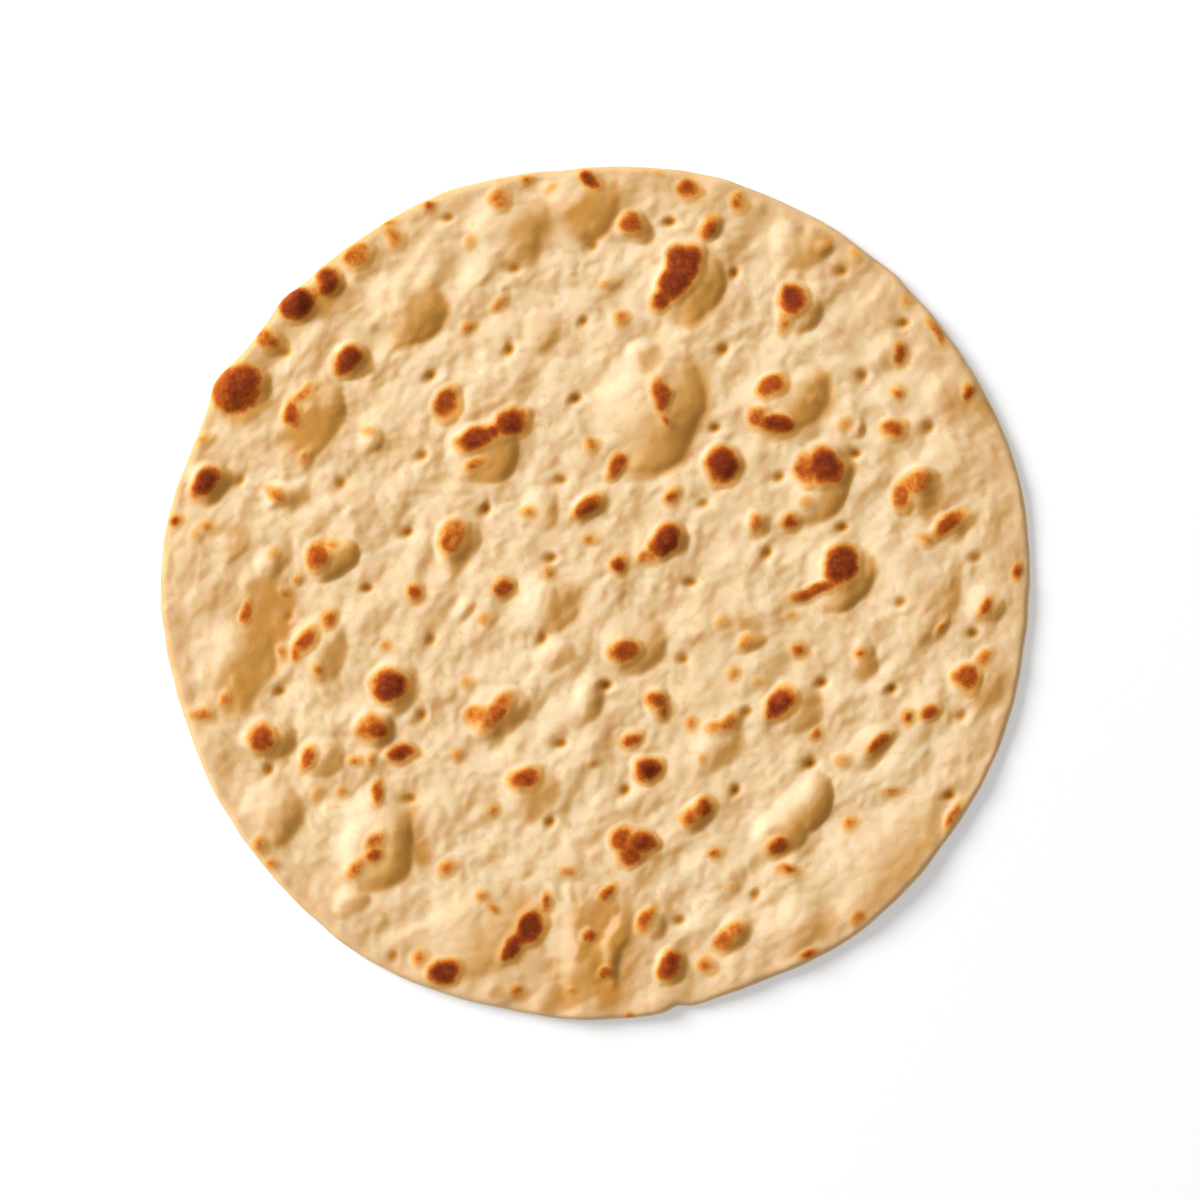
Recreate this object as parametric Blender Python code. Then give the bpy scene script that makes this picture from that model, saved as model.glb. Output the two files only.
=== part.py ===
"""A thin round pizza crust, docked and baked until it blistered, lying flat with its top up.

Blender units are metres and +Z is up. The origin is at the middle of the underside. Seen from
straight above, +X is to the right and +Y is up. Every size in this file is in millimetres, and
MM turns it to metres where the mesh is written.
"""

import math

import bpy
import numpy as np
from mathutils import noise

MM = 0.001

# ---- Driving dimensions -------------------------------------------------------------------------

CRUST_ACROSS = 300.0  # a twelve-inch crust
CRUST_THICKNESS = 4.6  # of the flat dough between its blisters
SWELL_OF_THE_DOUGH = 0.35  # how much thicker or thinner the dough lies from place to place

# The dough was stretched by hand, so the rim is only roughly round: how far it reaches from the
# middle, as a share of half the width, every 15 degrees from +X towards +Y.
RIM_REACH = (1.003, 1.014, 1.009, 1.007, 1.000, 0.995, 0.979, 0.981, 0.980, 0.975, 0.979, 0.990,
             0.998, 0.987, 0.987, 0.989, 0.993, 0.982, 0.985, 0.977, 0.984, 0.994, 0.995, 1.000)
RIM_WAVES = 11  # waves round the rim that are kept from those reaches
# Where a docking pin nicked the edge and where charred blisters bulge past it: (degrees from +X,
# half width in degrees, how far out).
RIM_BULGES = ((-78.6, 1.3, -1.3), (150.8, 3.6, 2.8), (136.4, 2.6, 1.4), (130.2, 2.0, 0.7))

RIM_RAGGED = 0.5  # how far the rim strays from its slow waves, and over what length
RIM_RAGGED_WAVE = 11.0

RIM_ROUND = 2.4  # how far in from the edge the top starts to fall away
RIM_FOOT_ROUND = 2.4  # the same under the crust
RIM_MIDLINE = 1.7  # the height at which the crust is widest

# The rim curled up a little in the oven: (degrees from +X, half width in degrees, lift).
RIM_CURLS = ((-48.0, 30.0, 1.3), (36.0, 24.0, 1.1), (-98.0, 20.0, 1.6))
CURL_STARTS = 104.0  # from the middle

# Blisters, where steam lifted the top: (x, y, length, width, turn of the length from +X, height).
BLISTERS = (
    # upper left
    (-65, 99, 28, 27, 0, 3.1), (-99.5, 60, 30, 24, 60, 2.8), (-29, 127, 33, 30, 0, 2.5),
    (-84, 80, 14.5, 13.5, 0, 2.6), (-77, 54, 12, 8, 90, 1.2), (-39, 50, 28, 23, 30, 3.0),
    (-123, 70, 20, 17, 50, 2.8), (-102.5, 99.5, 14, 12, 20, 3.2), (-93, 108, 12, 10, 0, 2.8),
    (-18, 91, 18, 12, 70, 1.6), (-48, 16, 22, 14, 80, 2.5), (-19, 29, 17, 13, 90, 2.0),
    # upper right
    (-4, 134, 26, 25, 0, 3.1), (14, 126, 14, 12, 0, 2.4), (17.5, 64, 45, 40, 65, 5.0),
    (17, 82, 15, 13, 0, 2.4), (32, 107, 30, 24, 50, 3.7), (41, 125, 9, 9, 0, 2.0),
    (68.5, 119.5, 22, 19, 0, 2.4), (76.5, 119.5, 9, 8, 0, 1.6), (70.3, 98, 16, 15, 90, 2.7),
    (66, 67, 32, 26, 20, 3.1), (123, 69, 25, 23, 0, 1.6), (101, 84, 18, 16, 0, 1.6),
    (44, 44, 14, 14, 0, 2.8), (78, 36.5, 28, 21, 60, 3.1), (112, 35, 20, 19, 0, 2.5),
    (124, 23, 18, 11, 30, 1.9), (90, 57, 8, 7, 0, 1.2), (56.6, 23.6, 10, 9, 90, 1.6),
    (-1.5, 30, 14, 10, 30, 2.0),
    # left
    (-133.7, 37.5, 16, 14, 0, 3.2), (-126.5, 19, 19, 15, 0, 1.2), (-107, 33, 17, 14, 0, 2.0),
    (-111, 9.5, 16, 10, 60, 1.6), (-91.5, 12, 16, 14, 0, 3.2), (-124, -21.6, 42, 28, 75, 2.8),
    (-95, -20, 26, 20, 70, 2.5), (-69, -33, 19, 18, 0, 2.5), (-76, -47, 15, 14, 0, 2.4),
    (-46, -6, 14, 8, 60, 1.2), (-113, -50, 20, 19, 0, 2.5), (-95, -56, 16, 14, 0, 2.4),
    # middle
    (25, 17.5, 15, 13, 45, 2.6), (-17, -3, 25, 23, 0, 2.6), (-14, -22, 14, 12, 0, 1.3),
    (12.5, -17, 24, 22, 0, 2.5), (-2, -36, 22, 15, 70, 2.1), (-33.5, -42, 25, 18, 40, 2.5),
    (22.5, -38, 12, 12, 0, 2.0), (54, -16, 10, 9, 0, 1.6), (42, -53, 22, 18, 45, 1.9),
    (69.5, -38.5, 20, 17, 50, 2.4),
    # right
    (83, 5.4, 26, 22, 40, 3.1), (135, -5, 14, 13, 90, 1.6), (112, -2, 33, 30, 80, 2.3),
    (93, -23, 17, 10, 80, 1.6), (132, -30, 24, 22, 0, 1.8), (95, -53, 24, 12, 30, 1.6),
    # lower left
    (-75, -84, 38, 27, 80, 4.2), (-111, -75, 24, 22, 45, 2.5), (-84, -106, 13, 12, 0, 1.6),
    (-24, -69, 24, 21, 30, 2.5), (-42, -114, 44, 38, 0, 2.6), (-3, -119, 44, 27, 85, 2.2),
    (-5.5, -124, 42, 15, 88, 2.7), (6.5, -121, 34, 10, 80, 2.7), (-8, -106, 16, 7, 82, 1.0),
    # lower right
    (18.7, -61, 12, 11, 0, 2.4), (35.6, -76, 14, 11, 50, 2.4), (13.8, -87, 18, 14, 0, 1.9),
    (72.5, -73, 22, 17, 40, 3.5), (63, -82, 22, 17, 40, 3.5), (99, -92, 50, 38, 45, 2.7),
    (68, -115, 36, 22, 30, 1.6), (20, -114.5, 14, 13, 60, 2.0), (26, -129, 14, 13, 60, 2.4),
    (49, -117, 17, 13, 30, 2.4),
)
# The dough crept one way as it rose, so every blister leans: it rises gently on one side, without
# a crease at its foot, and falls steeply on the other. Each pair is the gentle and the steep side.
BLISTERS_LEAN = -33.0  # degrees from +X
STEEP_SIDE = (-0.3, 0.9)  # cosines from the lean at which the steep side begins and is full
BLISTER_FLAT_TOP = 2.0  # the power of the way out: more is a flatter top, steeper sides
BLISTER_FOOT = (1.7, 0.68)  # below 1 a blister stands up steeply from the dough, and 2 is no crease
LEANING_FROM = 18.0  # a blister at least this long leans fully, and a small one is a round button
UPRIGHT_TO = 8.0
BUTTON_FOOT = 1.1
SHARP_FOOT = (2.2, 3.1)  # the heights at which a blister's foot begins to be sharp and is fully so
LEAST_SHARP = 0.25  # how much of the sharp foot the low blisters have
BLISTERS_MEET = 4.0  # how sharply two blisters that overlap stay apart
BLISTER_DRIFT = 1.3  # how far a blister's outline wanders from an oval, and over what length
BLISTER_DRIFT_WAVE = 24.0
BLISTER_RAGGED = 0.8  # the same of its finer unevenness
BLISTER_RAGGED_WAVE = 7.0

# The dough was stretched one way as it was rolled, which left low ridges along it.
STRETCHED_TOWARDS = 48.0  # degrees from +X
RIDGE_HEIGHT = 1.38
RIDGE_WIDTH = 10.0
RIDGE_LENGTH = 15.0
RIDGES_LEFT_ON_BLISTERS = 0.4  # the skin of a blister is stretched smoother
BLISTER_SKIN_FROM = 2.5  # the height of a blister at which its skin is that smooth

# Docking holes, pressed in with pins before baking so that the crust stays flat. Those under the
# tallest blisters closed up.
DOCKING_HOLES = (
    (-50, 129.5), (0, 120), (26.5, 128), (-27, 112), (48.5, 110.5), (86, 111), (-3.5, 94),
    (107, 93), (45, 84), (-29, 84), (93, 75), (-56, 75), (-6, 67), (42, 57), (116, 57.5),
    (-59, 47.5), (90.5, 48), (-106, 83), (-122, 39), (-87, 38), (-11, 39), (64, 40), (-37, 29),
    (38, 31), (86, 22.6), (-64, 21), (132, 12), (60, 14), (-14.5, 12), (34, 3.6), (-78, 1.6),
    (106, -3), (-105, -8), (131, -14), (-56, -16), (-17.6, -15.7), (31, -23), (79, -31),
    (103, -33), (-108, -34), (4.5, -32), (-59, -42), (53, -41), (127, -42), (-11, -52),
    (75, -59), (-112, -61), (11, -68), (49, -68), (123, -70), (-63, -71), (-15, -79),
    (56, -104), (30, -113), (-69, -125),
)
PIN_DEPTH = 1.1
PIN_LENGTH = 3.8
PIN_WIDTH = 2.9
PIN_PRESS = (0.55, 1.0)  # how far a pin went in, drawn for each hole
PLATE_DEPTH = 0.6  # the soft hollow that the pin's plate left, long towards its lower left
PLATE_LENGTH = 7.2
PLATE_WIDTH = 4.4
PLATE_OFFSET = 1.3
PLATE_TURN = (10.0, 65.0)  # degrees from +X, drawn for each hole

# Spots that toasted dark stand up as small blisters of their own:
# (x, y, length, width, turn, how dark).
BROWN, CHAR = 0.72, 0.96
TOASTED_SPOTS = (
    # upper left
    (-123, 70, 19, 17, 50, 0.8), (-102.5, 99.5, 13, 10, 20, 0.92),
    (-92, 107.5, 9, 7, 90, 0.92), (-85, 80, 12, 8, 45, CHAR), (-51, 65.5, 11, 8, 70, BROWN),
    (-28.7, 58.5, 11.5, 9, 25, CHAR), (-40.7, 53, 13.5, 7.5, 15, 0.9),
    # upper right
    (12.5, 127.5, 8, 7, 0, BROWN), (31, 113.5, 12, 13, 0, CHAR), (28, 107.5, 15, 9.5, 62, CHAR),
    (23, 68, 11, 6, 100, BROWN), (68.5, 101, 9, 10, 0, CHAR), (61.5, 71.5, 10, 6, 40, BROWN),
    (63.5, 58, 11.5, 7, 5, 0.9), (44, 44, 11, 12, 0, CHAR), (79.5, 43.5, 12.5, 12.5, 0, CHAR),
    # left
    (-134, 38, 12, 8, 50, CHAR), (-95.4, 13, 10, 7, 60, BROWN), (-70.5, -32, 12, 11, 0, CHAR),
    (-75, -47.5, 8, 7, 0, BROWN), (-114.7, -50, 9, 9, 0, BROWN), (-66.4, -55, 8.5, 6, 10, 0.85),
    # middle
    (-2.4, 29.5, 11, 6, 40, BROWN), (24.5, 18, 12, 9, 50, CHAR), (10.7, -20, 10, 8, 0, BROWN),
    (64.3, -38, 12, 8, 50, CHAR),
    # right
    (85.4, 9.5, 12, 13, 0, CHAR), (128.6, -29.5, 8, 8, 0, BROWN),
    # lower left
    (-52, -130.5, 11, 8, 30, CHAR), (-24, -64, 11, 7, 15, BROWN), (-22, -115, 13, 8, 60, CHAR),
    (-28.5, -122.5, 12, 6, 50, 0.9),
    # lower right
    (18.7, -61, 9, 8, 0, CHAR), (37.5, -74.5, 8, 6, 55, BROWN), (9.5, -85, 8, 8, 0, BROWN),
    (16.5, -86, 9, 8, 0, 0.85), (12.5, -90, 9, 7, 45, BROWN), (26, -128.7, 11, 7, 65, CHAR),
    (63.2, -87.3, 8, 6, 30, BROWN),
)
TOAST_BUMP = 2.0  # how far a charred spot of this width stands up
TOAST_BUMP_WIDTH = 12.0
TOAST_BUMP_SPREAD = 1.45  # how far past its toasted outline such a spot starts to rise

SWELL_WAVE = 55.0  # how long the slow swells of the dough are
NOISE_STEP = 17.3  # how far apart the slices of noise lie that two seeds take
RIDGE_SEED, RAGGED_SEED_X, RAGGED_SEED_Y, RIM_SEED = 1, 6, 7, 10
SWELL_SEED, DRIFT_SEED_X, DRIFT_SEED_Y, DOCKING_SEED = 1, 3, 4, 11
NEARLY_NOTHING = 0.01

BALL_DIVISIONS = 8  # of the ball of dough that is pressed flat
KEPT_FACES = 0.0345  # share of the ball's faces that the flat crust needs

CRUST_COLOUR = (0.83, 0.60, 0.33)  # linear light: cream to golden bread
CRUST_ROUGHNESS = 0.75


# ---- Form of the crust --------------------------------------------------------------------------

def smooth_step(value):
    value = np.clip(value, 0.0, 1.0)
    return value * value * (3.0 - 2.0 * value)


def soft_waves(x, y, wavelength, seed, count=7):
    """Smooth unevenness, about -1 to 1: a seeded sum of long waves that run in all directions."""
    draw = np.random.default_rng(seed)
    total = np.zeros_like(x)
    for _ in range(count):
        heading = draw.uniform(0.0, 2.0 * math.pi)
        length = wavelength * draw.uniform(0.75, 1.35)
        along = x * math.cos(heading) + y * math.sin(heading)
        total += np.sin(2.0 * math.pi * along / length + draw.uniform(0.0, 2.0 * math.pi))
    return total / math.sqrt(count)


def dough_noise(x, y, across, along, seed):
    """Perlin noise, about -1 to 1, with bumps of this width and length along the stretch."""
    turn = math.radians(STRETCHED_TOWARDS)
    u = (x * math.cos(turn) + y * math.sin(turn)) / along
    v = (y * math.cos(turn) - x * math.sin(turn)) / across
    return np.array([noise.noise((i, j, NOISE_STEP * seed)) for i, j in zip(u, v)])


def oval_reach(x, y, middle_x, middle_y, length, width, turn):
    """0 in the middle of an oval and 1 on its outline."""
    cosine = math.cos(math.radians(turn))
    sine = math.sin(math.radians(turn))
    along = (x - middle_x) * cosine + (y - middle_y) * sine
    across = (y - middle_y) * cosine - (x - middle_x) * sine
    return np.hypot(2.0 * along / length, 2.0 * across / width)


def rim_radius(angle):
    """How far the crust reaches at an angle: the waves that pass through the measured reaches."""
    waves = np.fft.rfft(RIM_REACH) / len(RIM_REACH)
    reach = np.full_like(angle, waves[0].real)
    for number in range(1, RIM_WAVES + 1):
        wave = waves[number]
        reach += 2.0 * (wave.real * np.cos(number * angle) - wave.imag * np.sin(number * angle))
    round_x = CRUST_ACROSS / 2.0 * np.cos(angle)
    round_y = CRUST_ACROSS / 2.0 * np.sin(angle)
    stray = RIM_RAGGED * dough_noise(round_x, round_y, RIM_RAGGED_WAVE, RIM_RAGGED_WAVE, RIM_SEED)
    for heading, half_width, out in RIM_BULGES:
        stray += out * np.exp(-((np.degrees(angle) - heading) / half_width) ** 2)
    return CRUST_ACROSS / 2.0 * reach + stray


def curl(x, y):
    """How far the rim lifts off the table, counted on the underside."""
    angle = np.degrees(np.arctan2(y, x))
    outwards = smooth_step((np.hypot(x, y) - CURL_STARTS) / (CRUST_ACROSS / 2.0 - CURL_STARTS))
    lift = np.zeros_like(x)
    for heading, half_width, height in RIM_CURLS:
        off = (angle - heading + 180.0) % 360.0 - 180.0
        lift += height * np.exp(-(off / half_width) ** 2)
    return lift * outwards


def leaning_dome(x, y, oval, height):
    """Height of one blister, 0 to 1: gentle on one side and steep on the side it leans to."""
    lean_x = math.cos(math.radians(BLISTERS_LEAN))
    lean_y = math.sin(math.radians(BLISTERS_LEAN))
    leaning = float(smooth_step((oval[2] - UPRIGHT_TO) / (LEANING_FROM - UPRIGHT_TO)))
    sharp = float(smooth_step((height - SHARP_FOOT[0]) / (SHARP_FOOT[1] - SHARP_FOOT[0])))
    away_x = x - oval[0]
    away_y = y - oval[1]
    distance = np.maximum(np.hypot(away_x, away_y), NEARLY_NOTHING)
    down_lean = (away_x * lean_x + away_y * lean_y) / distance
    steep = smooth_step((down_lean - STEEP_SIDE[0]) / (STEEP_SIDE[1] - STEEP_SIDE[0]))
    steep *= LEAST_SHARP + (1.0 - LEAST_SHARP) * sharp
    foot = BLISTER_FOOT[0] + (BLISTER_FOOT[1] - BLISTER_FOOT[0]) * steep
    foot = BUTTON_FOOT + (foot - BUTTON_FOOT) * leaning
    reach = np.minimum(oval_reach(x, y, *oval), 1.0)
    return (1.0 - reach ** BLISTER_FLAT_TOP) ** foot


def blister_height(x, y):
    """How far the blisters lift the top. Where two overlap, the taller one wins softly."""
    wave = BLISTER_RAGGED_WAVE
    ragged_x = BLISTER_RAGGED * dough_noise(x, y, wave, wave, RAGGED_SEED_X)
    ragged_y = BLISTER_RAGGED * dough_noise(x, y, wave, wave, RAGGED_SEED_Y)
    x = x + BLISTER_DRIFT * soft_waves(x, y, BLISTER_DRIFT_WAVE, DRIFT_SEED_X) + ragged_x
    y = y + BLISTER_DRIFT * soft_waves(x, y, BLISTER_DRIFT_WAVE, DRIFT_SEED_Y) + ragged_y
    total = np.zeros_like(x)
    for *oval, height in BLISTERS:
        total += (height * leaning_dome(x, y, oval, height)) ** BLISTERS_MEET
    return total ** (1.0 / BLISTERS_MEET)


def toast_height(x, y):
    """How far the dark toasted spots stand up."""
    bump = np.zeros_like(x)
    for *oval, dark in TOASTED_SPOTS:
        reach = np.minimum(oval_reach(x, y, *oval) / TOAST_BUMP_SPREAD, 1.0)
        bump = np.maximum(bump, math.sqrt(dark * oval[3] / TOAST_BUMP_WIDTH) * (1.0 - reach ** 2))
    return TOAST_BUMP * bump


def ridge_height(x, y, blisters):
    """The low ridges of the stretched dough, lower on the tight skin of a blister."""
    smoother = 1.0 - (1.0 - RIDGES_LEFT_ON_BLISTERS) * smooth_step(blisters / BLISTER_SKIN_FROM)
    return RIDGE_HEIGHT * smoother * dough_noise(x, y, RIDGE_WIDTH, RIDGE_LENGTH, RIDGE_SEED)


def docking_depth(x, y):
    """How far the docking pins pressed the top in."""
    draw = np.random.default_rng(DOCKING_SEED)
    depth = np.zeros_like(x)
    for hole_x, hole_y in DOCKING_HOLES:
        turn = draw.uniform(*PLATE_TURN)
        plate_x = hole_x - PLATE_OFFSET * math.cos(math.radians(turn))
        plate_y = hole_y - PLATE_OFFSET * math.sin(math.radians(turn))
        press = draw.uniform(*PIN_PRESS)
        plate = oval_reach(x, y, plate_x, plate_y, PLATE_LENGTH, PLATE_WIDTH, turn)
        pin = oval_reach(x, y, hole_x, hole_y, PIN_LENGTH, PIN_WIDTH, turn)
        depth += PLATE_DEPTH * np.exp(-plate ** 2) + press * PIN_DEPTH * np.exp(-pin ** 2)
    return depth


def rounded(depth_in, width):
    """0 at the edge, 1 past the round, along a quarter of an ellipse."""
    return np.sqrt(1.0 - (1.0 - np.clip(depth_in / width, 0.0, 1.0)) ** 2)


def top_height(x, y, depth_in):
    dough = CRUST_THICKNESS + SWELL_OF_THE_DOUGH * soft_waves(x, y, SWELL_WAVE, SWELL_SEED)
    blisters = blister_height(x, y)
    dough += blisters + toast_height(x, y) + ridge_height(x, y, blisters) - docking_depth(x, y)
    return curl(x, y) + RIM_MIDLINE + (dough - RIM_MIDLINE) * rounded(depth_in, RIM_ROUND)


def foot_height(x, y, depth_in):
    return curl(x, y) + RIM_MIDLINE * (1.0 - rounded(depth_in, RIM_FOOT_ROUND))


def press_flat(ball):
    """Places, in millimetres, that the points of a ball of radius 1 take in the pressed crust."""
    angle = np.arctan2(ball[:, 1], ball[:, 0])
    share_out = np.sqrt(np.clip(1.0 - np.abs(ball[:, 2]), 0.0, 1.0))
    edge = rim_radius(angle)
    x = edge * share_out * np.cos(angle)
    y = edge * share_out * np.sin(angle)
    depth_in = edge * (1.0 - share_out)
    top = top_height(x, y, depth_in)
    foot = foot_height(x, y, depth_in)
    return np.column_stack((x, y, np.where(ball[:, 2] > 0.0, top, foot)))


# ---- The crust as an object ---------------------------------------------------------------------

def clear_scene():
    for item in list(bpy.data.objects):
        bpy.data.objects.remove(item, do_unlink=True)


def bread_material():
    material = bpy.data.materials.new("baked_dough")
    material.use_nodes = True
    shader = material.node_tree.nodes["Principled BSDF"]
    shader.inputs["Base Color"].default_value = (*CRUST_COLOUR, 1.0)
    shader.inputs["Roughness"].default_value = CRUST_ROUGHNESS
    shader.inputs["Metallic"].default_value = 0.0
    return material


def make_crust(collection):
    bpy.ops.mesh.primitive_ico_sphere_add(subdivisions=BALL_DIVISIONS, radius=1.0)
    crust = bpy.context.object
    crust.name = "crust"
    for holder in list(crust.users_collection):
        holder.objects.unlink(crust)
    collection.objects.link(crust)

    ball = np.empty(3 * len(crust.data.vertices))
    crust.data.vertices.foreach_get("co", ball)
    pressed = press_flat(ball.reshape(-1, 3)) * MM
    crust.data.vertices.foreach_set("co", pressed.ravel())
    crust.data.update()
    crust.data.materials.append(bread_material())
    crust.data.shade_smooth()

    thinned = crust.modifiers.new("fewer_faces", "DECIMATE")
    thinned.decimate_type = "COLLAPSE"
    thinned.ratio = KEPT_FACES
    return crust


clear_scene()
pizza_crust = bpy.data.collections.new("pizza_crust")
bpy.context.scene.collection.children.link(pizza_crust)
make_crust(pizza_crust)
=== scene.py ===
import math

import bpy
import numpy as np
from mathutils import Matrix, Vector, noise


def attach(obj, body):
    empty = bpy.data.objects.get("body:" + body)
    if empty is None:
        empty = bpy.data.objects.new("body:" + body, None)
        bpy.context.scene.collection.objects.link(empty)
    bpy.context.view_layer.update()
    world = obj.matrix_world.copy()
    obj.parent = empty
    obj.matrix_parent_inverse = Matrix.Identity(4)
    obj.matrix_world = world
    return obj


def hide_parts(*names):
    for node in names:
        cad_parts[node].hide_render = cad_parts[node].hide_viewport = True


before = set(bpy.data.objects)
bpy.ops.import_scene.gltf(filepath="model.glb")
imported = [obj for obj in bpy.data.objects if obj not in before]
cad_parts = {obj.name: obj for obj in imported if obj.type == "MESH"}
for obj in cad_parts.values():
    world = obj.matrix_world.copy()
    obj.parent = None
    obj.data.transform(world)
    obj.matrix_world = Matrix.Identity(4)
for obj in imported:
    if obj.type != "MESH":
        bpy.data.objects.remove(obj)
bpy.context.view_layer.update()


# ==== The baked crust ============================================================================
# A twelve-inch round of yeast dough, rolled thin, pricked all over with docking pins and baked on
# a hot plate. Steam lifted the skin into blisters, and the tops of the blisters toasted first.
# Sizes are in millimetres, as on the solid that this piece replaces. MM turns them to metres.

MM = 0.001

CRUST_ACROSS = 300.0
CRUST_THICKNESS = 4.6  # of the flat dough between its blisters
SWELL_OF_THE_DOUGH = 0.35  # how much thicker or thinner the dough lies from place to place
SWELL_WAVE = 55.0

# How far the hand-stretched rim reaches, as a share of half the width, every 15 degrees from +X.
RIM_REACH = (1.003, 1.014, 1.009, 1.007, 1.000, 0.995, 0.979, 0.981, 0.980, 0.975, 0.979, 0.990,
             0.998, 0.987, 0.987, 0.989, 0.993, 0.982, 0.985, 0.977, 0.984, 0.994, 0.995, 1.000)
RIM_WAVES = 11  # waves round the rim that are kept from those reaches
# Where a docking pin nicked the edge and where charred blisters bulge past it: (degrees from +X,
# half width in degrees, how far out).
RIM_BULGES = ((-78.6, 1.3, -1.3), (150.8, 3.6, 2.8), (136.4, 2.6, 1.4), (130.2, 2.0, 0.7))

RIM_RAGGED = 0.5  # how far the rim strays from its slow waves, and over what length
RIM_RAGGED_WAVE = 11.0

RIM_ROUND = 2.4  # how far in from the edge the top starts to fall away
RIM_FOOT_ROUND = 2.4  # the same under the crust
RIM_MIDLINE = 1.7  # the height at which the crust is widest

# The rim curled up a little in the oven: (degrees from +X, half width in degrees, lift).
RIM_CURLS = ((-48.0, 30.0, 1.3), (36.0, 24.0, 1.1), (-98.0, 20.0, 1.6))
CURL_STARTS = 104.0  # from the middle

# Blisters: (x, y, length, width, turn of the length from +X, height).
BLISTERS = (
    # upper left
    (-65, 99, 28, 27, 0, 3.1), (-99.5, 60, 30, 24, 60, 2.8), (-29, 127, 33, 30, 0, 2.5),
    (-84, 80, 14.5, 13.5, 0, 2.6), (-77, 54, 12, 8, 90, 1.2), (-39, 50, 28, 23, 30, 3.0),
    (-123, 70, 20, 17, 50, 2.8), (-102.5, 99.5, 14, 12, 20, 3.2), (-93, 108, 12, 10, 0, 2.8),
    (-18, 91, 18, 12, 70, 1.6), (-48, 16, 22, 14, 80, 2.5), (-19, 29, 17, 13, 90, 2.0),
    # upper right
    (-4, 134, 26, 25, 0, 3.1), (14, 126, 14, 12, 0, 2.4), (17.5, 64, 45, 40, 65, 5.0),
    (17, 82, 15, 13, 0, 2.4), (32, 107, 30, 24, 50, 3.7), (41, 125, 9, 9, 0, 2.0),
    (68.5, 119.5, 22, 19, 0, 2.4), (76.5, 119.5, 9, 8, 0, 1.6), (70.3, 98, 16, 15, 90, 2.7),
    (66, 67, 32, 26, 20, 3.1), (123, 69, 25, 23, 0, 1.6), (101, 84, 18, 16, 0, 1.6),
    (44, 44, 14, 14, 0, 2.8), (78, 36.5, 28, 21, 60, 3.1), (112, 35, 20, 19, 0, 2.5),
    (124, 23, 18, 11, 30, 1.9), (90, 57, 8, 7, 0, 1.2), (56.6, 23.6, 10, 9, 90, 1.6),
    (-1.5, 30, 14, 10, 30, 2.0),
    # left
    (-133.7, 37.5, 16, 14, 0, 3.2), (-126.5, 19, 19, 15, 0, 1.2), (-107, 33, 17, 14, 0, 2.0),
    (-111, 9.5, 16, 10, 60, 1.6), (-91.5, 12, 16, 14, 0, 3.2), (-124, -21.6, 42, 28, 75, 2.8),
    (-95, -20, 26, 20, 70, 2.5), (-69, -33, 19, 18, 0, 2.5), (-76, -47, 15, 14, 0, 2.4),
    (-46, -6, 14, 8, 60, 1.2), (-113, -50, 20, 19, 0, 2.5), (-95, -56, 16, 14, 0, 2.4),
    # middle
    (25, 17.5, 15, 13, 45, 2.6), (-17, -3, 25, 23, 0, 2.6), (-14, -22, 14, 12, 0, 1.3),
    (12.5, -17, 24, 22, 0, 2.5), (-2, -36, 22, 15, 70, 2.1), (-33.5, -42, 25, 18, 40, 2.5),
    (22.5, -38, 12, 12, 0, 2.0), (54, -16, 10, 9, 0, 1.6), (42, -53, 22, 18, 45, 1.9),
    (69.5, -38.5, 20, 17, 50, 2.4),
    # right
    (83, 5.4, 26, 22, 40, 3.1), (135, -5, 14, 13, 90, 1.6), (112, -2, 33, 30, 80, 2.3),
    (93, -23, 17, 10, 80, 1.6), (132, -30, 24, 22, 0, 1.8), (95, -53, 24, 12, 30, 1.6),
    # lower left
    (-75, -84, 38, 27, 80, 4.2), (-111, -75, 24, 22, 45, 2.5), (-84, -106, 13, 12, 0, 1.6),
    (-24, -69, 24, 21, 30, 2.5), (-42, -114, 44, 38, 0, 2.6), (-3, -119, 44, 27, 85, 2.2),
    (-5.5, -124, 42, 15, 88, 2.7), (6.5, -121, 34, 10, 80, 2.7), (-8, -106, 16, 7, 82, 1.0),
    # lower right
    (18.7, -61, 12, 11, 0, 2.4), (35.6, -76, 14, 11, 50, 2.4), (13.8, -87, 18, 14, 0, 1.9),
    (72.5, -73, 22, 17, 40, 3.5), (63, -82, 22, 17, 40, 3.5), (99, -92, 50, 38, 45, 2.7),
    (68, -115, 36, 22, 30, 1.6), (20, -114.5, 14, 13, 60, 2.0), (26, -129, 14, 13, 60, 2.4),
    (49, -117, 17, 13, 30, 2.4),
)
# The dough crept one way as it rose, so every blister leans: it rises gently on one side, without
# a crease at its foot, and falls steeply on the other. Each pair is the gentle and the steep side.
BLISTERS_LEAN = -33.0  # degrees from +X
STEEP_SIDE = (-0.3, 0.9)  # cosines from the lean at which the steep side begins and is full
BLISTER_FLAT_TOP = 2.0  # the power of the way out: more is a flatter top, steeper sides
BLISTER_FOOT = (1.7, 0.68)  # below 1 a blister stands up steeply from the dough, and 2 is no crease
LEANING_FROM = 18.0  # a blister at least this long leans fully, and a small one is a round button
UPRIGHT_TO = 8.0
BUTTON_FOOT = 1.1  # the foot of a round button, the same all round
SHARP_FOOT = (2.2, 3.1)  # the heights at which a blister's foot begins to be sharp and is fully so
LEAST_SHARP = 0.25  # how much of the sharp foot the low blisters have
# The lee of each blister is painted golden-brown: painted shade on the side turned from the lamp,
# reaching past the foot over the blister's cast shadow.
LEE_SHADE_SPAN = (-0.4, 0.8)  # how far down the lean a blister's painted shade starts and is full
LEE_OUTSIDE = 0.24  # how far past its outline that reaches, as a share of the blister
LEE_FADE = (0.5, 0.26)  # over what share it fades, for a soft foot and for a sharp one
LEE_LOW = 0.6  # how strong the painted shade on the lee of a low blister is beside that of a tall one
BLISTERS_MEET = 4.0  # how sharply two blisters that overlap stay apart
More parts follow.
